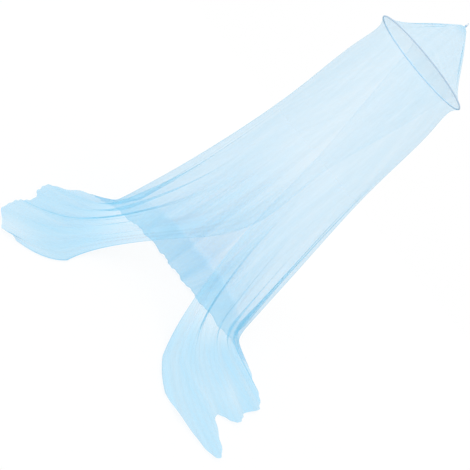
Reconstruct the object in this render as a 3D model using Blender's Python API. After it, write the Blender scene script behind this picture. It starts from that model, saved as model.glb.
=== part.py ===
"""Mosquito net canopy with hoop: a sewn crown, a hoop in its sleeve, and one long front-opening drape.

Metres, +Z up. The origin is the bearing point of the hanging loop, and the whole net hangs below it.
The drape's front faces -Y: its two front edges overlap under the hoop, part above the floor, and
sweep out into a left (-X) and a right (+X) tail that lie on the floor.
"""
import math

import bmesh
import bpy
import numpy as np

# Driving dimensions
HOOP_RADIUS = 0.300         # to the centre of the hoop's rod
HOOP_ROD = 0.002            # radius of the rod
HOOP_Z = -0.282             # the hoop's plane
HOOP_HEIGHT = 1.700         # of the hoop's plane above the floor
FLOOR_Z = HOOP_Z - HOOP_HEIGHT
CLOTH = 0.002               # thickness of the net as a solid sheet
GAP = 0.0006                # between pieces that are sewn together
RING_STEPS = 60

# Hanging loop: a narrow tape in the shape of a drop, and the bound tip that it is sewn to
LOOP_HALF_WIDTH = 0.0035
LOOP_HEIGHT = 0.008
LOOP_NARROWING = 0.60
LOOP_TAPE = 0.0012
LOOP_TAPE_WIDTH = 0.006
LOOP_STEPS = 24
TIP_RADIUS = 0.0060
TIP_WALL = 0.0012
TIP_TOP_Z = -LOOP_HEIGHT - LOOP_TAPE - GAP
TIP_BOTTOM_Z = TIP_TOP_Z - 0.0070
TIP_CAP = 0.0015

# Sleeve: a strip folded round the rod, its mouth facing down and inwards
SLEEVE_THICKNESS = 0.0011
SLEEVE_MOUTH_DEG = 44
SLEEVE_MOUTH_AIM_DEG = 222
SLEEVE_STEPS = 5

# Crown: how far out it is, from tip to sleeve, at a share q of its drop:
# STRAIGHT * q ** POWER + FLARE * q ** FLARE_POWER
CROWN_TOP_RADIUS = 0.0030
CROWN_STRAIGHT = 0.865
CROWN_POWER = 0.96
CROWN_FLARE = 0.135
CROWN_FLARE_POWER = 10
CROWN_FOLD = 0.0045         # half depth of its gathers
CROWN_FOLDS = 13
CROWN_ROWS = 6              # below its gathered neck
CROWN_NECK = (0.024, 0.07)  # shares of the drop between which it opens out of the tip
CROWN_SLOPE_DEG = 31        # of its last stretch, where it meets the sleeve

# Drape
STATIONS = (0.37, 0.70)     # shares of the fall at which the table says where a line hangs
NECK_SHARE = 0.075          # how far the net draws in under the hoop
NECK_DROP = 0.060
OVERLAP_STEP = 0.005        # between the middle and each layer of the front overlap at the hoop
FOLDS = 21                  # main folds across the whole width
FOLD_WANDER = ((0.36, 3, 1.0), (0.22, 7, 2.2))      # size in folds, half waves across the width, phase
FOLD_UNEVEN = ((0.26, 9, 0.6), (0.20, 17, 2.9))     # share of the depth, half waves, phase
HANG_FOLD = 0.025           # half depth of a main fold just above the floor
HANG_FOLD_POWER = 1.6       # how the folds deepen on the way down
FLOOR_FOLD_OUT = 0.30       # share of that depth which the hem keeps as scallops
FLOOR_FOLD_RISE = 0.010     # height of a fold that lies on the floor
DRAPE_COLUMNS = 96
DRAPE_ROWS = 17

# The drape's lengthwise lines, one row each, from the left front edge round the back to the right
# front edge.
#   share          place along the hem, from 0 to 1
#   hoop_deg       place on the hoop, 0 at the front and 90 at the left
#   layer          1 on the outer layer of the front overlap, -1 on the inner layer
#   mid_x, mid_y   where it hangs at the first of STATIONS
#   low_x, low_y   where it hangs at the second
#   foot_x, foot_y where it would meet the floor
#   bend           how far from there it starts to curve
#   turn_x, turn_y what it heads for from there
#   hem_x, hem_y   where it ends on the floor
#   lift           how high it lies there on the layers below it
COLUMNS = ("share", "hoop_deg", "layer", "mid_x", "mid_y", "low_x", "low_y", "foot_x", "foot_y", "bend",
           "turn_x", "turn_y", "hem_x", "hem_y", "lift")
LINES = [
    (0.000, -50, 1, 0.120, -0.335, 0.068, -0.415, -0.305, -0.605, 0.36, -0.205, -1.060, -0.445, -1.175, 0.004),
    (0.060, -28, 1, 0.035, -0.350, -0.035, -0.435, -0.340, -0.580, 0.34, -0.340, -1.020, -0.522, -1.195, 0.006),
    (0.120, -4, 1, -0.060, -0.335, -0.130, -0.425, -0.375, -0.535, 0.29, -0.440, -0.900, -0.606, -1.080, 0.006),
    (0.180, 22, 0, -0.145, -0.300, -0.215, -0.385, -0.410, -0.450, 0.24, -0.500, -0.720, -0.612, -0.850, 0.006),
    (0.225, 44, 0, -0.220, -0.245, -0.285, -0.310, -0.440, -0.340, 0.18, -0.535, -0.560, -0.660, -0.735, 0.006),
    (0.270, 66, 0, -0.278, -0.165, -0.342, -0.205, -0.462, -0.210, 0.13, -0.535, -0.390, -0.615, -0.510, 0.005),
    (0.315, 90, 0, -0.311, -0.040, -0.380, -0.050, -0.472, -0.040, 0.09, -0.485, -0.180, -0.525, -0.310, 0.004),
    (0.365, 116, 0, -0.282, 0.135, -0.343, 0.155, -0.447, 0.160, 0.07, -0.435, 0.020, -0.420, -0.215, 0.003),
    (0.430, 148, 0, -0.165, 0.275, -0.205, 0.300, -0.290, 0.335, 0.06, -0.270, 0.110, -0.240, -0.125, 0.002),
    (0.515, 180, 0, 0.015, 0.323, 0.020, 0.348, 0.020, 0.385, 0.06, 0.015, 0.140, 0.010, -0.130, 0.002),
    (0.600, 212, 0, 0.195, 0.275, 0.245, 0.300, 0.335, 0.335, 0.06, 0.310, 0.110, 0.280, -0.140, 0.002),
    (0.655, 242, 0, 0.315, 0.145, 0.390, 0.165, 0.490, 0.160, 0.07, 0.485, 0.030, 0.470, -0.145, 0.003),
    (0.700, 268, 0, 0.353, -0.010, 0.444, -0.010, 0.526, -0.010, 0.08, 0.560, -0.090, 0.655, -0.178, 0.004),
    (0.740, 288, 0, 0.332, -0.115, 0.418, -0.135, 0.510, -0.125, 0.10, 0.620, -0.200, 0.780, -0.290, 0.005),
    (0.775, 303, 0, 0.295, -0.180, 0.380, -0.210, 0.480, -0.210, 0.12, 0.625, -0.300, 0.852, -0.432, 0.006),
    (0.805, 316, 0, 0.255, -0.220, 0.340, -0.265, 0.455, -0.275, 0.15, 0.600, -0.400, 0.790, -0.550, 0.006),
    (0.845, 332, 0, 0.190, -0.265, 0.280, -0.330, 0.400, -0.360, 0.19, 0.545, -0.520, 0.768, -0.700, 0.006),
    (0.890, 346, -1, 0.130, -0.290, 0.215, -0.375, 0.345, -0.430, 0.23, 0.470, -0.670, 0.655, -0.838, 0.006),
    (0.925, 356, -1, 0.090, -0.297, 0.170, -0.395, 0.300, -0.475, 0.26, 0.395, -0.850, 0.748, -1.028, 0.006),
    (0.965, 368, -1, 0.060, -0.300, 0.135, -0.405, 0.260, -0.510, 0.29, 0.300, -0.930, 0.545, -1.075, 0.005),
    (1.000, 378, -1, 0.032, -0.300, 0.105, -0.410, 0.225, -0.540, 0.32, 0.260, -0.900, 0.400, -1.035, 0.004),
]


def clear_scene():
    for obj in list(bpy.data.objects):
        bpy.data.objects.remove(obj, do_unlink=True)


def material(name, colour, roughness):
    made = bpy.data.materials.new(name)
    made.use_nodes = True
    shader = made.node_tree.nodes["Principled BSDF"]
    shader.inputs["Base Color"].default_value = (*colour, 1.0)
    shader.inputs["Roughness"].default_value = roughness
    shader.inputs["Metallic"].default_value = 0.0
    return made


def add_object(name, points, faces, finish):
    mesh = bpy.data.meshes.new(name)
    mesh.from_pydata([tuple(map(float, p)) for p in points], [], faces)
    shape = bmesh.new()
    shape.from_mesh(mesh)
    bmesh.ops.remove_doubles(shape, verts=shape.verts, dist=1e-7)
    bmesh.ops.recalc_face_normals(shape, faces=shape.faces)
    shape.to_mesh(mesh)
    shape.free()
    mesh.materials.append(finish)
    mesh.shade_smooth()
    mesh.set_sharp_from_angle(angle=math.radians(40))
    obj = bpy.data.objects.new(name, mesh)
    bpy.context.scene.collection.objects.link(obj)
    return obj


def ring_faces(sections, each, closed=True):
    """Quads that join each section of a closed ring to the next one."""
    return [(i * each + j, (i + 1) % sections * each + j,
             (i + 1) % sections * each + (j + 1) % each, i * each + (j + 1) % each)
            for i in range(sections) for j in range(each if closed else each - 1)]


def turned(section, closed=True):
    """A (radius, z) section turned about the Z axis."""
    points = []
    for i in range(RING_STEPS):
        a = 2 * math.pi * i / RING_STEPS
        points += [(-r * math.sin(a), -r * math.cos(a), z) for r, z in section]
    return points, ring_faces(RING_STEPS, len(section), closed)


def arc(radius, start_deg, end_deg, steps):
    """Points round the rod's centre in the (radius, z) plane, 0 outwards and 90 upwards."""
    angles = np.radians(np.linspace(start_deg, end_deg, steps))
    return [(HOOP_RADIUS + radius * math.cos(a), HOOP_Z + radius * math.sin(a)) for a in angles]


def loop_shape():
    """The tape as a ring in the XZ plane whose inside touches the origin."""
    points = []
    for i in range(LOOP_STEPS):
        t = 2 * math.pi * i / LOOP_STEPS
        down = (1 - math.cos(t)) / 2
        half = LOOP_HALF_WIDTH * (1 - LOOP_NARROWING * down ** 2)
        x, z = half * math.sin(t), -LOOP_HEIGHT * down
        out_x, out_z = math.sin(t) / half, math.cos(t) / (LOOP_HEIGHT / 2)
        size = math.hypot(out_x, out_z)
        out_x, out_z = out_x / size * LOOP_TAPE, out_z / size * LOOP_TAPE
        for side_x, side_z, y in ((0, 0, -1), (out_x, out_z, -1), (out_x, out_z, 1), (0, 0, 1)):
            points.append((x + side_x, y * LOOP_TAPE_WIDTH / 2, z + side_z))
    return points, ring_faces(LOOP_STEPS, 4)


def tip_shape():
    """A small cup, open below, into which the crown's gathered top goes."""
    inside = TIP_RADIUS - TIP_WALL
    section = [(0.0, TIP_TOP_Z), (TIP_RADIUS * 0.75, TIP_TOP_Z), (TIP_RADIUS, TIP_TOP_Z - 0.0015),
               (TIP_RADIUS, TIP_BOTTOM_Z), (inside, TIP_BOTTOM_Z),
               (inside, TIP_TOP_Z - TIP_CAP), (0.0, TIP_TOP_Z - TIP_CAP)]
    return turned(section, closed=False)


def hoop_shape():
    return turned(arc(HOOP_ROD, 0, 315, 8))


def sleeve_shape():
    inner, outer = HOOP_ROD + GAP, HOOP_ROD + GAP + SLEEVE_THICKNESS
    start = SLEEVE_MOUTH_AIM_DEG + SLEEVE_MOUTH_DEG / 2
    end = start + 360 - SLEEVE_MOUTH_DEG
    return turned(arc(outer, start, end, SLEEVE_STEPS + 1) + arc(inner, end, start, SLEEVE_STEPS + 1))


def sheet_faces(columns, rows, around):
    """Quads of a sheet given as a front and a back grid, with its edges closed."""
    def at(side, i, j):
        return (side * columns + i % columns) * rows + j
    faces = []
    last = columns if around else columns - 1
    for i in range(last):
        for j in range(rows - 1):
            faces.append((at(0, i, j), at(0, i + 1, j), at(0, i + 1, j + 1), at(0, i, j + 1)))
            faces.append((at(1, i, j), at(1, i, j + 1), at(1, i + 1, j + 1), at(1, i + 1, j)))
        faces.append((at(0, i + 1, 0), at(0, i, 0), at(1, i, 0), at(1, i + 1, 0)))
        faces.append((at(0, i, rows - 1), at(0, i + 1, rows - 1), at(1, i + 1, rows - 1), at(1, i, rows - 1)))
    if not around:
        for i in (0, columns - 1):
            for j in range(rows - 1):
                faces.append((at(0, i, j), at(0, i, j + 1), at(1, i, j + 1), at(1, i, j)))
    return faces


def thick(grid, around):
    """A sheet of the cloth's thickness on both sides of a (column, row) grid of points."""
    if around:
        padded = np.concatenate([grid[-1:], grid, grid[:1]])
        along = padded[2:] - padded[:-2]
    else:
        along = np.gradient(grid, axis=0)
    normal = np.cross(along, np.gradient(grid, axis=1))
    normal /= np.linalg.norm(normal, axis=2, keepdims=True)
    both = np.concatenate([grid + normal * CLOTH / 2, grid - normal * CLOTH / 2])
    return both.reshape(-1, 3), sheet_faces(grid.shape[0], grid.shape[1], around)


def waves(terms, across):
    return sum(size * np.sin(math.pi * count * across + phase) for size, count, phase in terms)


def crown_shape():
    q = np.concatenate([[0, CROWN_NECK[0]], np.linspace(CROWN_NECK[1], 1, CROWN_ROWS)])
    out = CROWN_STRAIGHT * q ** CROWN_POWER + CROWN_FLARE * q ** CROWN_FLARE_POWER
    out *= smooth(*CROWN_NECK, q)
    reach = HOOP_ROD + 2 * GAP + SLEEVE_THICKNESS + 0.0004
    slope = math.radians(CROWN_SLOPE_DEG)
    end_radius = HOOP_RADIUS - reach * math.cos(slope)
    end_z = HOOP_Z + reach * math.sin(slope)
    top_z = TIP_TOP_Z - TIP_CAP - GAP
    a = 2 * math.pi * np.arange(RING_STEPS) / RING_STEPS
    uneven = 1 + waves(((0.3, 4, 0.5), (0.25, 10, 2.0)), a / math.pi)
    fold = CROWN_FOLD * np.outer(np.sin(CROWN_FOLDS * a + waves(((0.5, 6, 1.2),), a / math.pi)) * uneven,
                                 np.sin(math.pi * q) * smooth(CROWN_NECK[0], 0.25, q))
    radius = CROWN_TOP_RADIUS + (end_radius - CROWN_TOP_RADIUS) * out + fold
    z = np.broadcast_to(top_z + (end_z - top_z) * q, radius.shape)
    grid = np.stack([-radius * np.sin(a)[:, None], -radius * np.cos(a)[:, None], z], axis=2)
    return thick(grid, True)


def curve(x, y, at):
    """A smooth curve through the points (x, y), at these places."""
    x, y = np.asarray(x, float), np.asarray(y, float)
    step = np.diff(x)
    rise = np.diff(y) / step
    slope = np.empty_like(y)
    slope[1:-1] = (rise[:-1] * step[1:] + rise[1:] * step[:-1]) / (step[:-1] + step[1:])
    slope[0], slope[-1] = rise[0], rise[-1]
    place = np.clip(np.searchsorted(x, at, side="right") - 1, 0, len(x) - 2)
    t = (at - x[place]) / step[place]
    return ((1 + 2 * t) * (1 - t) ** 2 * y[place] + t * (1 - t) ** 2 * step[place] * slope[place]
            + t * t * (3 - 2 * t) * y[place + 1] + t * t * (t - 1) * step[place] * slope[place + 1])


def between_lines(share):
    """Each column of the table at these shares."""
    known = np.array(LINES, float).T
    return {name: curve(known[0], column, share) for name, column in zip(COLUMNS, known)}


def smooth(low, high, value):
    t = np.clip((value - low) / (high - low), 0, 1)
    return t * t * (3 - 2 * t)


def base_line(at):
    """One lengthwise line without folds: its points and, at each point, how much of it lies on the floor."""
    top_z = HOOP_Z - HOOP_ROD - 2 * GAP - SLEEVE_THICKNESS
    rest_z = FLOOR_Z + CLOTH / 2 + at["lift"]
    a = math.radians(at["hoop_deg"])
    radius = HOOP_RADIUS + OVERLAP_STEP * at["layer"]
    hoop = np.array([-radius * math.sin(a), -radius * math.cos(a)])
    q = np.linspace(0, 1, 90)
    drop = q * (top_z - rest_z)
    neck = NECK_SHARE * drop / NECK_DROP * np.exp(1 - drop / NECK_DROP)
    places = (0, *STATIONS, 1)
    x = curve(places, (hoop[0], at["mid_x"], at["low_x"], at["foot_x"]), q) - hoop[0] * neck
    y = curve(places, (hoop[1], at["mid_y"], at["low_y"], at["foot_y"]), q) - hoop[1] * neck
    hanging = np.stack([x, y, top_z - drop], axis=1)
    corner = hanging[-1]
    turn = np.array([at["turn_x"], at["turn_y"], rest_z])
    hem = np.array([at["hem_x"], at["hem_y"], rest_z])
    t = np.linspace(0, 1, 60)[1:, None]
    lying = (1 - t) ** 2 * corner + 2 * t * (1 - t) * turn + t * t * hem
    away = np.linalg.norm(lying - corner, axis=1)
    bend = min(at["bend"], 0.8 * away[-1])
    far = away > bend
    start = hanging[:, 2] > corner[2] + bend
    first, last = hanging[start][-1], lying[far][0]
    t = np.linspace(0, 1, 30)[1:-1, None]
    rounded = (1 - t) ** 2 * first + 2 * t * (1 - t) * corner + t * t * last
    points = np.concatenate([hanging[start], rounded, lying[far]])
    on_floor = np.concatenate([np.zeros(start.sum()), t[:, 0], np.ones(far.sum())])
    return points, on_floor


def drape_shape():
    share = np.linspace(0, 1, DRAPE_COLUMNS)
    u = np.linspace(0, 1, DRAPE_ROWS)
    v = u - 0.095 * np.sin(2 * math.pi * u)
    found = between_lines(share)
    grid = np.empty((DRAPE_COLUMNS, DRAPE_ROWS, 3))
    floor = np.empty((DRAPE_COLUMNS, DRAPE_ROWS))
    for i in range(DRAPE_COLUMNS):
        points, on_floor = base_line({name: values[i] for name, values in found.items()})
        length = np.concatenate([[0], np.cumsum(np.linalg.norm(np.diff(points, axis=0), axis=1))])
        for k in range(3):
            grid[i, :, k] = np.interp(v * length[-1], length, points[:, k])
        floor[i] = np.interp(v * length[-1], length, on_floor)
    along = np.gradient(grid, axis=0)
    side = np.stack([-along[..., 1], along[..., 0], np.zeros_like(floor)], axis=2)
    side /= np.linalg.norm(side, axis=2, keepdims=True)
    phase = 2 * math.pi * (FOLDS * share + waves(FOLD_WANDER, share))
    uneven = 1 + waves(FOLD_UNEVEN, share)
    ends = smooth(0, 0.03, share) * smooth(0, 0.03, 1 - share)
    drop = np.clip((HOOP_Z - grid[..., 2]) / HOOP_HEIGHT, 0, 1)
    depth = HANG_FOLD * drop ** HANG_FOLD_POWER * (uneven * (0.4 + 0.6 * ends))[:, None]
    lying = smooth(0.2, 0.9, floor)
    wave = np.sin(phase)[:, None]
    grid += side * (depth * wave * (1 - (1 - FLOOR_FOLD_OUT) * lying))[..., None]
    grid[..., 2] += FLOOR_FOLD_RISE * (0.5 + 0.5 * np.cos(phase)[:, None]) * lying
    return thick(grid, False)


def main():
    clear_scene()
    net = material("net_blue", (0.60, 0.78, 0.92), 0.85)
    tape = material("tape_blue", (0.44, 0.56, 0.70), 0.80)
    rod = material("hoop_plastic", (0.62, 0.68, 0.74), 0.45)
    add_object("hang_loop", *loop_shape(), tape)
    add_object("crown_binding", *tip_shape(), tape)
    add_object("crown_net", *crown_shape(), net)
    add_object("hoop", *hoop_shape(), rod)
    add_object("hoop_sleeve", *sleeve_shape(), tape)
    add_object("drape_net", *drape_shape(), net)


main()
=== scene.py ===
import math

import bpy
import numpy as np
from mathutils import Matrix, Vector


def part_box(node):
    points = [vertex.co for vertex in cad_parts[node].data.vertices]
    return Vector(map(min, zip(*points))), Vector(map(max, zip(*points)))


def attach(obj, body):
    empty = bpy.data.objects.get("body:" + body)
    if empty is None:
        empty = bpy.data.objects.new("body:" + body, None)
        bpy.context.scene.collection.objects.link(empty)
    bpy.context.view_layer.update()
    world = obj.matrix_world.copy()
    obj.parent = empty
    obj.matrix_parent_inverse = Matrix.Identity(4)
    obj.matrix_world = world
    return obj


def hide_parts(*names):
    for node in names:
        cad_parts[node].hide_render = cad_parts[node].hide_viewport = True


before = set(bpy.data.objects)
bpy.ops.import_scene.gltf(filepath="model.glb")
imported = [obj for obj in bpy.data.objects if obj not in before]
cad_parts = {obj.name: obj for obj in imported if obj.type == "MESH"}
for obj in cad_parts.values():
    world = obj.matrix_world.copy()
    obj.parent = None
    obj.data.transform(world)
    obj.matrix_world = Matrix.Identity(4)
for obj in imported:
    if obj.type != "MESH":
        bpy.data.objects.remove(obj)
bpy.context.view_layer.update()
hoopLow, hoopHigh = (Vector(corner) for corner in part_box("hoop"))
hoopZ = (hoopLow.z + hoopHigh.z) / 2
rodRadius = (hoopHigh.z - hoopLow.z) / 2
hoopRadius = (hoopHigh.x - hoopLow.x) / 2 - rodRadius
sleeveLow, sleeveHigh = (Vector(corner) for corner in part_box("hoop_sleeve"))
sleeveReach = (sleeveHigh.x - sleeveLow.x) / 2 - hoopRadius
tipLow, tipHigh = (Vector(corner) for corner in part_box("crown_binding"))
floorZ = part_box("drape_net")[0][2] - 0.002
print("frame loaded, hoop radius", round(hoopRadius, 4), "floor", round(floorZ, 4))


class Socket:
    # a shader socket that becomes a Math node when it is used in a sum
    def __init__(self, tree, source):
        self.tree, self.source = tree, source

    def node(self, kind, settings=None, inputs=None, output=0):
        made = self.tree.nodes.new(kind)
        for name, value in (settings or {}).items():
            setattr(made, name, value)
        for name, value in (inputs or {}).items():
            if isinstance(value, Socket):
                self.tree.links.new(value.source, made.inputs[name])
            else:
                made.inputs[name].default_value = value
        return Socket(self.tree, made.outputs[output])

    def maths(self, operation, *values):
        return self.node("ShaderNodeMath", dict(operation=operation), dict(enumerate(values)))

    def ramp(self, low, high, start=0.0, end=1.0):
        return self.node("ShaderNodeMapRange", dict(interpolation_type="SMOOTHSTEP"),
                         {"Value": self, "From Min": low, "From Max": high, "To Min": start, "To Max": end})

    def __add__(self, other): return self.maths("ADD", self, other)
    def __radd__(self, other): return self.maths("ADD", other, self)
    def __sub__(self, other): return self.maths("SUBTRACT", self, other)
    def __rsub__(self, other): return self.maths("SUBTRACT", other, self)
    def __mul__(self, other): return self.maths("MULTIPLY", self, other)
    def __rmul__(self, other): return self.maths("MULTIPLY", other, self)
    def __truediv__(self, other): return self.maths("DIVIDE", self, other)
    def __rtruediv__(self, other): return self.maths("DIVIDE", other, self)
    def __pow__(self, other): return self.maths("POWER", self, other)
    def __rpow__(self, other): return self.maths("POWER", other, self)


def newMaterial(name, look, specular=0.3):
    made = bpy.data.materials.new(name)
    made.use_nodes = True
    shader = made.node_tree.nodes["Principled BSDF"]
    shader.inputs["Base Color"].default_value = (*look["colour"], 1)
    shader.inputs["Roughness"].default_value = look["roughness"]
    shader.inputs["Specular IOR Level"].default_value = specular
    return made, shader, Socket(made.node_tree, None)


def join(socket, shader, name):
    socket.tree.links.new(socket.source, shader.inputs[name])


def clothPlace(start, uvName):
    place = start.node("ShaderNodeUVMap", dict(uv_map=uvName))
    across = start.node("ShaderNodeSeparateXYZ", None, {"Vector": place})
    return across, Socket(start.tree, across.source.node.outputs[1])


def streaks(start, across, along, fineness, stretch):
    # noise drawn out lengthwise, between 0 and 1
    place = start.node("ShaderNodeCombineXYZ", None, {"X": across * fineness, "Y": along * stretch})
    return start.node("ShaderNodeTexNoise", dict(noise_dimensions="2D"),
                      {"Vector": place, "Scale": 1.0, "Detail": 2.0, "Roughness": 0.55})


# sheer knitted net: how much it covers follows its mesh, how closely it is gathered and how it has crept
netLook = dict(colour=(0.232, 0.592, 0.812), roughness=0.85, cover=0.222, meshSize=0.0042, meshContrast=0.20,
               fineStreaks=(58.0, 1.1), broadStreaks=(15.0, 0.55),      # per metre across and along
               streakContrast=0.34, cloudContrast=0.16, hemWidth=0.011, hemLayers=1.9)


def netMaterial(name, halfWidth):
    # halfWidth(along) is half the width of the flat cloth, or None where it has no side edges
    net, shader, start = newMaterial(name, netLook, specular=0.1)
    net.surface_render_method = "BLENDED"
    across, along = clothPlace(start, "clothUV")
    cell = 2 * math.pi / netLook["meshSize"]
    slanted = (across + along) * cell * 0.7071, (across - along) * cell * 0.7071
    knit = slanted[0].maths("SINE", slanted[0]) * slanted[1].maths("SINE", slanted[1])
    fine = streaks(start, across, along, *netLook["fineStreaks"])
    broad = streaks(start, across, along, *netLook["broadStreaks"])
    cloud = start.node("ShaderNodeTexNoise", dict(noise_dimensions="3D"),
                       {"Vector": start.node("ShaderNodeTexCoord", output=3), "Scale": 5.0, "Detail": 3.0})
    gathered = start.node("ShaderNodeAttribute", dict(attribute_name="gathered"), output=2)
    layers = gathered * (1 + netLook["streakContrast"] * (fine + 1.3 * broad - 1.15)
                         + netLook["cloudContrast"] * (cloud - 0.5))
    if halfWidth:
        inside = halfWidth(along) - across.maths("ABSOLUTE", across)
        hem = inside.ramp(netLook["hemWidth"] * 0.8, netLook["hemWidth"] * 1.2, netLook["hemLayers"], 1.0)
        layers = layers * hem
    meshed = 1 + netLook["meshContrast"] * knit
    join(1 - (1 - netLook["cover"]) ** (layers * meshed), shader, "Alpha")
    bump = start.node("ShaderNodeBump", None, {"Height": knit, "Strength": 0.25, "Distance": 0.0004})
    join(bump, shader, "Normal")
    return net


tapeLook = dict(colour=(0.520, 0.655, 0.785), roughness=0.8, ribSize=0.0011, ribDepth=0.0002, wear=0.16,
                paintedBackLight=1.32)         # painted light: how much paler the back of the rim is painted than the front
tape, tapeShader, start = newMaterial("tape_blue_woven", tapeLook, specular=0.2)
place = start.node("ShaderNodeTexCoord", output=3)
x = start.node("ShaderNodeSeparateXYZ", None, {"Vector": place})
y, z = Socket(start.tree, x.source.node.outputs[1]), Socket(start.tree, x.source.node.outputs[2])
turn = x.maths("ARCTAN2", x, y) * (hoopRadius * 2 * math.pi / tapeLook["ribSize"])
height = z * (2 * math.pi / tapeLook["ribSize"])
weave = turn.maths("SINE", turn) * height.maths("SINE", height)
patches = start.node("ShaderNodeTexNoise", dict(noise_dimensions="3D"),
                     {"Vector": place, "Scale": 26.0, "Detail": 4.0})
# tape colour: random wear patches and the weave, times a painted light that grows paler from the front of the rim to
# its back
shade = (1 + tapeLook["wear"] * (patches - 0.5) + 0.10 * weave) * y.ramp(-0.05, 0.27, 0.92, tapeLook["paintedBackLight"])
tapeColour = start.node("ShaderNodeVectorMath", dict(operation="SCALE"), {0: tapeLook["colour"], "Scale": shade})
join(tapeColour, tapeShader, "Base Color")
join(start.node("ShaderNodeBump", None, {"Height": weave, "Strength": 0.5, "Distance": tapeLook["ribDepth"]}),
     tapeShader, "Normal")

rodLook = dict(colour=(0.62, 0.67, 0.72), roughness=0.42, scuff=0.10)
rod, rodShader, start = newMaterial("hoop_plastic_white", rodLook, specular=0.45)
scuffs = start.node("ShaderNodeTexNoise", dict(noise_dimensions="3D"),
                    {"Vector": start.node("ShaderNodeTexCoord", output=3), "Scale": 90.0, "Detail": 3.0})
join(rodLook["roughness"] + rodLook["scuff"] * (scuffs - 0.5), rodShader, "Roughness")

threadLook = dict(colour=(0.55, 0.70, 0.84), roughness=0.6, stitch=0.0042, spacing=0.0062, thickness=0.0005)
thread, threadShader, start = newMaterial("sewing_thread_blue", threadLook)
twist = start.node("ShaderNodeTexNoise", dict(noise_dimensions="3D"),
                   {"Vector": start.node("ShaderNodeTexCoord", output=3), "Scale": 400.0, "Detail": 1.0})
join(threadLook["roughness"] + 0.2 * (twist - 0.5), threadShader, "Roughness")
print("materials made")

drapeLook = dict(
    columns=452, rows=208,          # of the mesh
    stations=(0.37, 0.70),          # shares of the fall at which the table says where a line hangs
    neckShare=0.075, neckDrop=0.060,
    overlapStep=0.005,
    folds=21, hangFold=0.0165, hangFoldPower=1.6,        # main folds, and their half depth just above the floor
    lean=0.05,                      # how far the folds roll over sideways
    secondFolds=64, secondFold=0.0041,
    floorFoldOut=0.30, floorFoldRise=0.010,
    topWidth=2.2, hemWidth=4.6, clothLength=2.25,      # of the net laid flat
)
lineColumns = ("share", "hoopDeg", "layer", "midX", "midY", "lowX", "lowY", "footX", "footY", "bend",
               "turnX", "turnY", "hemX", "hemY", "lift")
# lengthwise lines from the left front edge round the back to the right front edge
drapeLines = [
    (0.000, -50, 1, 0.120, -0.335, 0.068, -0.415, -0.305, -0.605, 0.36, -0.205, -1.060, -0.445, -1.175, 0.004),
    (0.060, -28, 1, 0.035, -0.350, -0.035, -0.435, -0.340, -0.580, 0.34, -0.340, -1.020, -0.522, -1.195, 0.006),
    (0.120, -4, 1, -0.060, -0.335, -0.130, -0.425, -0.375, -0.535, 0.29, -0.440, -0.900, -0.606, -1.080, 0.006),
    (0.180, 22, 0, -0.145, -0.300, -0.215, -0.385, -0.410, -0.450, 0.24, -0.500, -0.720, -0.612, -0.850, 0.006),
    (0.225, 44, 0, -0.220, -0.245, -0.285, -0.310, -0.440, -0.340, 0.18, -0.535, -0.560, -0.660, -0.735, 0.006),
    (0.270, 66, 0, -0.278, -0.165, -0.342, -0.205, -0.462, -0.210, 0.13, -0.535, -0.390, -0.615, -0.510, 0.005),
    (0.315, 90, 0, -0.311, -0.040, -0.380, -0.050, -0.472, -0.040, 0.09, -0.485, -0.180, -0.525, -0.310, 0.004),
    (0.365, 116, 0, -0.282, 0.135, -0.343, 0.155, -0.447, 0.160, 0.07, -0.435, 0.020, -0.420, -0.215, 0.003),
    (0.430, 148, 0, -0.165, 0.275, -0.205, 0.300, -0.290, 0.335, 0.06, -0.270, 0.110, -0.240, -0.125, 0.002),
    (0.515, 180, 0, 0.015, 0.323, 0.020, 0.348, 0.020, 0.385, 0.06, 0.015, 0.140, 0.010, -0.130, 0.002),
    (0.600, 212, 0, 0.195, 0.275, 0.245, 0.300, 0.335, 0.335, 0.06, 0.310, 0.110, 0.280, -0.140, 0.002),
    (0.655, 242, 0, 0.315, 0.145, 0.390, 0.165, 0.490, 0.160, 0.07, 0.485, 0.030, 0.470, -0.145, 0.003),
    (0.700, 268, 0, 0.353, -0.010, 0.444, -0.010, 0.526, -0.010, 0.08, 0.560, -0.090, 0.655, -0.178, 0.004),
    (0.740, 288, 0, 0.332, -0.115, 0.418, -0.135, 0.510, -0.125, 0.10, 0.620, -0.200, 0.780, -0.290, 0.005),
    (0.775, 303, 0, 0.295, -0.180, 0.380, -0.210, 0.480, -0.210, 0.12, 0.625, -0.300, 0.852, -0.432, 0.006),
    (0.805, 316, 0, 0.255, -0.220, 0.340, -0.265, 0.455, -0.275, 0.15, 0.600, -0.400, 0.790, -0.550, 0.006),
    (0.845, 332, 0, 0.190, -0.265, 0.280, -0.330, 0.400, -0.360, 0.19, 0.545, -0.520, 0.768, -0.700, 0.006),
    (0.890, 346, -1, 0.130, -0.290, 0.215, -0.375, 0.345, -0.430, 0.23, 0.470, -0.670, 0.655, -0.838, 0.006),
    (0.925, 356, -1, 0.090, -0.297, 0.170, -0.395, 0.300, -0.475, 0.26, 0.395, -0.850, 0.748, -1.028, 0.006),
    (0.965, 368, -1, 0.060, -0.300, 0.135, -0.405, 0.260, -0.510, 0.29, 0.300, -0.930, 0.545, -1.075, 0.005),
    (1.000, 378, -1, 0.032, -0.300, 0.105, -0.410, 0.225, -0.540, 0.32, 0.260, -0.900, 0.400, -1.035, 0.004),
]
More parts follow.
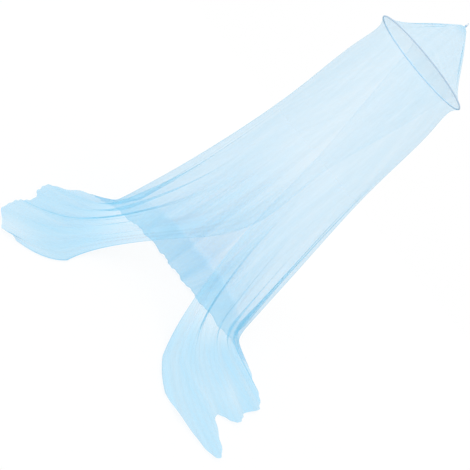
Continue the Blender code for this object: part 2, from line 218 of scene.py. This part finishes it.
# how many layers of flat net the gathered net looks like: at the hoop, at mid height, near the floor, on it
gatherColumns = ("share", "top", "mid", "low", "floor")
gatherLines = [
    (0.00, 0.22, 0.44, 1.45, 3.50),
    (0.05, 0.40, 0.60, 1.42, 3.60),
    (0.14, 0.80, 0.94, 1.30, 3.70),
    (0.25, 1.00, 1.05, 1.20, 3.40),
    (0.36, 1.05, 1.08, 1.15, 2.20),
    (0.515, 0.88, 1.05, 2.45, 4.10),
    (0.66, 1.05, 1.08, 1.15, 2.20),
    (0.78, 1.00, 1.05, 1.20, 3.50),
    (0.88, 0.80, 0.94, 1.25, 3.30),
    (0.96, 0.40, 0.60, 1.42, 3.10),
    (1.00, 0.22, 0.44, 1.42, 3.10),
]

# thinner spots where one layer lies by itself: share, place along the length, their half sizes, what is kept
thinSpots = [(0.07, 0.985, 0.075, 0.055, 0.62), (0.84, 0.945, 0.035, 0.045, 0.74)]


def curve(x, y, at):
    # a smooth curve through the points (x, y), at these places
    x, y = np.asarray(x, float), np.asarray(y, float)
    step = np.diff(x)
    rise = np.diff(y) / step
    slope = np.empty_like(y)
    slope[1:-1] = (rise[:-1] * step[1:] + rise[1:] * step[:-1]) / (step[:-1] + step[1:])
    slope[0], slope[-1] = rise[0], rise[-1]
    place = np.clip(np.searchsorted(x, at, side="right") - 1, 0, len(x) - 2)
    t = (at - x[place]) / step[place]
    return ((1 + 2 * t) * (1 - t) ** 2 * y[place] + t * (1 - t) ** 2 * step[place] * slope[place]
            + t * t * (3 - 2 * t) * y[place + 1] + t * t * (t - 1) * step[place] * slope[place + 1])


def betweenRows(names, rows, share):
    known = np.array(rows, float).T
    return {name: curve(known[0], column, share) for name, column in zip(names, known)}


def smooth(low, high, value):
    t = np.clip((value - low) / (high - low), 0, 1)
    return t * t * (3 - 2 * t)


def waves(terms, across):
    return sum(size * np.sin(math.pi * count * across + phase) for size, count, phase in terms)


def baseLine(at):
    # one lengthwise line without folds, and how much of it lies on the floor
    look = drapeLook
    topZ = sleeveLow.z - 0.0006
    restZ = floorZ + 0.002 + at["lift"]
    a = math.radians(at["hoopDeg"])
    radius = hoopRadius + look["overlapStep"] * at["layer"]
    hoop = np.array([-radius * math.sin(a), -radius * math.cos(a)])
    q = np.linspace(0, 1, 160)
    drop = q * (topZ - restZ)
    neck = look["neckShare"] * drop / look["neckDrop"] * np.exp(1 - drop / look["neckDrop"])
    places = (0, *look["stations"], 1)
    x = curve(places, (hoop[0], at["midX"], at["lowX"], at["footX"]), q) - hoop[0] * neck
    y = curve(places, (hoop[1], at["midY"], at["lowY"], at["footY"]), q) - hoop[1] * neck
    hanging = np.stack([x, y, topZ - drop], axis=1)
    corner = hanging[-1]
    turn = np.array([at["turnX"], at["turnY"], restZ])
    hem = np.array([at["hemX"], at["hemY"], restZ])
    t = np.linspace(0, 1, 110)[1:, None]
    lying = (1 - t) ** 2 * corner + 2 * t * (1 - t) * turn + t * t * hem
    away = np.linalg.norm(lying - corner, axis=1)
    bend = min(at["bend"], 0.8 * away[-1])
    far = away > bend
    start = hanging[:, 2] > corner[2] + bend
    first, last = hanging[start][-1], lying[far][0]
    t = np.linspace(0, 1, 60)[1:-1, None]
    rounded = (1 - t) ** 2 * first + 2 * t * (1 - t) * corner + t * t * last
    points = np.concatenate([hanging[start], rounded, lying[far]])
    return points, np.concatenate([np.zeros(start.sum()), t[:, 0], np.ones(far.sum())])


def drapeGrid(share, v):
    # the drape's points for these shares of its width and of its length, and how many layers it looks like
    look = drapeLook
    found = betweenRows(lineColumns, drapeLines, share)
    grid = np.empty((len(share), len(v), 3))
    floor = np.empty((len(share), len(v)))
    for i in range(len(share)):
        points, onFloor = baseLine({name: values[i] for name, values in found.items()})
        length = np.concatenate([[0], np.cumsum(np.linalg.norm(np.diff(points, axis=0), axis=1))])
        for k in range(3):
            grid[i, :, k] = np.interp(v * length[-1], length, points[:, k])
        floor[i] = np.interp(v * length[-1], length, onFloor)
    along = np.gradient(grid, axis=0)
    side = np.stack([-along[..., 1], along[..., 0], np.zeros_like(floor)], axis=2)
    side /= np.linalg.norm(side, axis=2, keepdims=True)
    tangent = np.stack([side[..., 1], -side[..., 0], np.zeros_like(floor)], axis=2)
    phase = 2 * math.pi * (look["folds"] * share + waves(((0.36, 3, 1.0), (0.22, 7, 2.2)), share))
    uneven = 1 + waves(((0.26, 9, 0.6), (0.20, 17, 2.9)), share)
    ends = smooth(0, 0.03, share) * smooth(0, 0.03, 1 - share)
    drop = np.clip((hoopZ - grid[..., 2]) / (hoopZ - floorZ), 0, 1)
    lying = smooth(0.2, 0.9, floor)
    depth = look["hangFold"] * drop ** look["hangFoldPower"] * (uneven * (0.4 + 0.6 * ends))[:, None]
    kept = 1 - (1 - look["floorFoldOut"]) * lying
    wave = np.sin(phase)[:, None]
    grid = grid + side * (depth * wave * kept)[..., None]
    grid = grid + tangent * (look["lean"] * depth * np.sin(2 * phase)[:, None] * kept)[..., None]
    second = look["secondFolds"] * share + waves(((0.5, 11, 0.4), (0.3, 23, 1.9)), share)
    second = 2 * math.pi * (second[:, None] + 0.35 * np.sin(2.2 * v + 9 * share[:, None]))
    secondDepth = look["secondFold"] * (0.10 + drop) * (1 + waves(((0.4, 29, 1.1), (0.3, 13, 0.2)), share))[:, None]
    grid = grid + side * (secondDepth * np.sin(second) * smooth(0.0, 0.25, drop) * kept)[..., None]
    grid[..., 2] += look["floorFoldRise"] * (0.5 + 0.5 * np.cos(phase)[:, None]) * lying
    grid[..., 2] += look["secondFold"] * 0.5 * (1 + np.sin(second)) * lying
    dense = {name: values[:, None] for name, values in betweenRows(gatherColumns, gatherLines, share).items()}
    gathered = dense["top"] + (dense["mid"] - dense["top"]) * smooth(0.1, 0.55, drop)
    gathered = gathered + (dense["low"] - dense["mid"]) * smooth(0.40, 0.90, drop)
    settled = np.maximum(smooth(0.10, 0.80, floor), 0.35 * smooth(0.82, 1.0, drop))
    gathered = gathered + (dense["floor"] - dense["low"]) * settled
    for atShare, atV, shareSize, vSize, keep in thinSpots:
        near = np.exp(-((share[:, None] - atShare) / shareSize) ** 2 - ((v - atV) / vSize) ** 2)
        gathered = gathered * (1 - (1 - keep) * near)
    return grid, gathered * (1 + 0.08 * wave * smooth(0.1, 0.5, drop))


def gridMesh(name, grid, uv, gathered, around=False):
    columns, rows = grid.shape[:2]
    mesh = bpy.data.meshes.new(name)
    last = columns if around else columns - 1
    i, j = np.meshgrid(np.arange(last), np.arange(rows - 1), indexing="ij")
    ahead = (i + 1) % columns
    faces = np.stack([i * rows + j, ahead * rows + j, ahead * rows + j + 1, i * rows + j + 1], axis=-1)
    mesh.from_pydata(grid.reshape(-1, 3).tolist(), [], faces.reshape(-1, 4)[:, ::-1].tolist())
    layer = mesh.uv_layers.new(name="clothUV")
    corners = np.stack([np.stack([i, j], -1), np.stack([i + 1, j], -1),
                        np.stack([i + 1, j + 1], -1), np.stack([i, j + 1], -1)], axis=2)[:, :, ::-1]
    corners = corners.reshape(-1, 2)
    layer.data.foreach_set("uv", uv[corners[:, 0], corners[:, 1]].astype(np.float32).ravel())
    dense = mesh.attributes.new("gathered", "FLOAT", "POINT")
    dense.data.foreach_set("value", gathered.astype(np.float32).ravel())
    mesh.shade_smooth()
    obj = bpy.data.objects.new(name, mesh)
    bpy.context.scene.collection.objects.link(obj)
    return obj


look = drapeLook
share = np.linspace(0, 1, look["columns"])
v = np.linspace(0, 1, look["rows"])
drapePoints, drapeGathered = drapeGrid(share, v)
width = look["topWidth"] + (look["hemWidth"] - look["topWidth"]) * v
uv = np.stack([(share[:, None] - 0.5) * width[None, :],
               np.broadcast_to(v * look["clothLength"], (len(share), len(v)))], axis=-1)
drape = gridMesh("drape_net_cloth", drapePoints, uv, drapeGathered)
widening = (look["hemWidth"] - look["topWidth"]) / look["clothLength"]
drape.data.materials.append(netMaterial("net_blue_knit", lambda along: (look["topWidth"] + widening * along) / 2))
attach(drape, "root")
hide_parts("drape_net")
print("drape made", len(drape.data.vertices), "points")

crownLook = dict(columns=480, rows=90, topRadius=0.0030, straight=0.865, power=0.96, flare=0.135, flarePower=10,
                 folds=13, fold=0.0045, gathers=84, gather=0.0011, slopeDeg=31, neck=(0.024, 0.07),
                 flatShare=0.52,            # of its bounding rectangle that the flat crown fills
                 layersLow=1.05, layersHigh=2.0)
crown = crownLook
q = np.linspace(0, 1, crown["rows"])
out = crown["straight"] * q ** crown["power"] + crown["flare"] * q ** crown["flarePower"]
out = out * smooth(*crown["neck"], q)
slope = math.radians(crown["slopeDeg"])
endRadius = hoopRadius - (sleeveReach + 0.0006) * math.cos(slope)
endZ = hoopZ + (sleeveReach + 0.0006) * math.sin(slope)
topZ = tipHigh.z - 0.0021
a = 2 * math.pi * np.arange(crown["columns"]) / crown["columns"]
uneven = 1 + waves(((0.3, 4, 0.5), (0.25, 10, 2.0)), a / math.pi)
fold = crown["fold"] * np.outer(np.sin(crown["folds"] * a + waves(((0.5, 6, 1.2),), a / math.pi)) * uneven,
                                np.sin(math.pi * q) * smooth(crown["neck"][0], 0.25, q))
fold += crown["gather"] * np.outer(np.sin(crown["gathers"] * a + waves(((0.9, 14, 0.3),), a / math.pi)),
                                   np.sin(math.pi * q) * smooth(0.10, 0.4, q))
radius = crown["topRadius"] + (endRadius - crown["topRadius"]) * out + fold
z = np.broadcast_to(topZ + (endZ - topZ) * q, radius.shape)
crownPoints = np.stack([-radius * np.sin(a)[:, None], -radius * np.cos(a)[:, None], z], axis=2)
slant = math.hypot(hoopRadius, topZ - hoopZ)
around = np.linspace(0, 1, crown["columns"] + 1)
crownUv = np.stack([(around[:, None] - 0.5) * 2 * math.pi * hoopRadius * (0.05 + 0.95 * q[None, :]),
                    np.broadcast_to(q * slant, (len(around), len(q)))], axis=-1)
layers = crown["layersLow"] + (crown["layersHigh"] - crown["layersLow"]) * (1 - smooth(0.0, 0.22, q))
crownCloth = gridMesh("crown_net_cloth", crownPoints, crownUv, np.broadcast_to(layers, radius.shape), around=True)
crownCloth.data.materials.append(netMaterial("net_blue_knit_crown", None))
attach(crownCloth, "root")
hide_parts("crown_net")
print("crown made")


def stitchTree():
    # short rounded stitches laid at even steps along every chain of edges
    tree = bpy.data.node_groups.new("stitch_rows", "GeometryNodeTree")
    sockets = {}
    for name, kind in (("Path", "NodeSocketGeometry"), ("Spacing", "NodeSocketFloat"),
                       ("Stitch Length", "NodeSocketFloat"), ("Thickness", "NodeSocketFloat"),
                       ("Thread", "NodeSocketMaterial")):
        sockets[name] = tree.interface.new_socket(name, in_out="INPUT", socket_type=kind).identifier
    tree.interface.new_socket("Stitches", in_out="OUTPUT", socket_type="NodeSocketGeometry")
    made = {name: tree.nodes.new(kind) for name, kind in (
        ("in", "NodeGroupInput"), ("out", "NodeGroupOutput"), ("curve", "GeometryNodeMeshToCurve"),
        ("resample", "GeometryNodeResampleCurve"), ("tangent", "GeometryNodeInputTangent"),
        ("turn", "FunctionNodeAlignRotationToVector"), ("radius", "ShaderNodeMath"),
        ("stitch", "GeometryNodeMeshCylinder"), ("place", "GeometryNodeInstanceOnPoints"),
        ("realize", "GeometryNodeRealizeInstances"), ("paint", "GeometryNodeSetMaterial"))}
    made["resample"].mode = "LENGTH"
    made["turn"].axis = "Z"
    made["radius"].operation = "MULTIPLY"
    made["radius"].inputs[1].default_value = 0.5
    made["stitch"].inputs["Vertices"].default_value = 6
    for source, output, target, name in (
            ("in", "Path", "curve", "Mesh"), ("curve", "Curve", "resample", "Curve"),
            ("in", "Spacing", "resample", "Length"), ("resample", "Curve", "place", "Points"),
            ("in", "Thickness", "radius", 0), ("radius", 0, "stitch", "Radius"),
            ("in", "Stitch Length", "stitch", "Depth"), ("stitch", "Mesh", "place", "Instance"),
            ("tangent", 0, "turn", "Vector"), ("turn", 0, "place", "Rotation"),
            ("place", 0, "realize", 0), ("realize", 0, "paint", "Geometry"),
            ("in", "Thread", "paint", "Material"), ("paint", 0, "out", 0)):
        tree.links.new(made[source].outputs[output], made[target].inputs[name])
    return tree, sockets


def stitched(name, paths, tree, sockets):
    mesh = bpy.data.meshes.new(name + "_paths")
    points, edges = [], []
    for path, closed in paths:
        first = len(points)
        points += [tuple(point) for point in path]
        edges += [(first + k, first + k + 1) for k in range(len(path) - 1)]
        if closed:
            edges.append((len(points) - 1, first))
    mesh.from_pydata(points, edges, [])
    guide = bpy.data.objects.new(name + "_paths", mesh)
    bpy.context.scene.collection.objects.link(guide)
    rows = guide.modifiers.new("rows", "NODES")
    rows.node_group = tree
    for label, value in (("Spacing", threadLook["spacing"]), ("Stitch Length", threadLook["stitch"]),
                         ("Thickness", threadLook["thickness"]), ("Thread", thread)):
        rows[sockets[label]] = value
    seen = guide.evaluated_get(bpy.context.evaluated_depsgraph_get())
    plain = bpy.data.meshes.new_from_object(seen)
    plain.name = name
    bpy.data.objects.remove(guide, do_unlink=True)
    obj = bpy.data.objects.new(name, plain)
    bpy.context.scene.collection.objects.link(obj)
    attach(obj, "root")
    return obj


seamLook = dict(hemIn=0.010, outOfNet=0.0005)       # how far the hem's stitches are from its edge and off the net
tree, sockets = stitchTree()
hemRow = int(round((1 - seamLook["hemIn"] / drapeLook["clothLength"]) * (drapeLook["rows"] - 1)))
edgePaths = [(drapePoints[column] + np.array((0, -seamLook["outOfNet"], seamLook["outOfNet"])), False)
             for column in (1, -2)]
hemPath = (drapePoints[:, hemRow] + np.array((0, 0, seamLook["outOfNet"])), False)
hemThread = stitched("hem_stitches", edgePaths + [hemPath], tree, sockets)
turnSteps = np.linspace(0, 2 * math.pi, 241)[:-1]
ringRadius = hoopRadius + sleeveReach + threadLook["thickness"] * 0.3
ring = np.stack([ringRadius * np.cos(turnSteps), ringRadius * np.sin(turnSteps), np.full_like(turnSteps, hoopZ)], 1)
ringThread = stitched("sleeve_stitches", [(ring, True)], tree, sockets)
print("stitches made", len(hemThread.data.polygons), len(ringThread.data.polygons))

for name, finish in (("hang_loop", tape), ("crown_binding", tape), ("hoop_sleeve", tape), ("hoop", rod)):
    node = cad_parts[name]
    node.data.materials.clear()
    node.data.materials.append(finish)

stageLook = dict(floorSize=24.0, floorColour=(0.16, 0.16, 0.16), floorGlow=0.815, worldStrength=1.0, keyStrength=0.9,
                 keyAngleDeg=40, roughness=1.0)
stageLook["colour"] = stageLook["floorColour"]
half = stageLook["floorSize"] / 2
floorMesh = bpy.data.meshes.new("studio_floor")
floorMesh.from_pydata([(-half, -half, floorZ), (half, -half, floorZ), (half, half, floorZ), (-half, half, floorZ)],
                      [], [(0, 1, 2, 3)])
floor = bpy.data.objects.new("studio_floor", floorMesh)
bpy.context.scene.collection.objects.link(floor)
floorPaint, floorShader, start = newMaterial("studio_white", stageLook, specular=0.0)
floorShader.inputs["Emission Color"].default_value = (1, 1, 1, 1)
floorShader.inputs["Emission Strength"].default_value = stageLook["floorGlow"]
floorMesh.materials.append(floorPaint)

world = bpy.data.worlds.new("studio_air")
world.use_nodes = True
world.node_tree.nodes["Background"].inputs["Color"].default_value = (1, 1, 1, 1)
world.node_tree.nodes["Background"].inputs["Strength"].default_value = stageLook["worldStrength"]
bpy.context.scene.world = world

keyData = bpy.data.lights.new("key_sun", "SUN")
keyData.energy = stageLook["keyStrength"]
keyData.angle = math.radians(stageLook["keyAngleDeg"])
key = bpy.data.objects.new("key_sun", keyData)
key.rotation_euler = (math.radians(42), math.radians(-22), 0)
bpy.context.scene.collection.objects.link(key)

cameraLook = dict(distance=3.199, drop=0.421, aside=0.078, tiltDeg=15.74, rollDeg=50.8, lens=45.04)
cameraData = bpy.data.cameras.new("camera")
cameraData.sensor_width = 36
cameraData.lens = cameraLook["lens"]
cameraData.clip_end = 60
camera = bpy.data.objects.new("camera", cameraData)
camera.matrix_world = (Matrix.Translation((cameraLook["aside"], -cameraLook["distance"], hoopZ - cameraLook["drop"]))
                       @ Matrix.Rotation(math.radians(90 - cameraLook["tiltDeg"]), 4, "X")
                       @ Matrix.Rotation(math.radians(cameraLook["rollDeg"]), 4, "Z"))
bpy.context.scene.collection.objects.link(camera)
bpy.context.scene.camera = camera

view = bpy.context.scene.view_settings
view.view_transform = "Standard"
view.look = "None"
bpy.context.scene.cycles.transparent_max_bounces = 64
bpy.context.scene.cycles.max_bounces = 12
print("stage set")
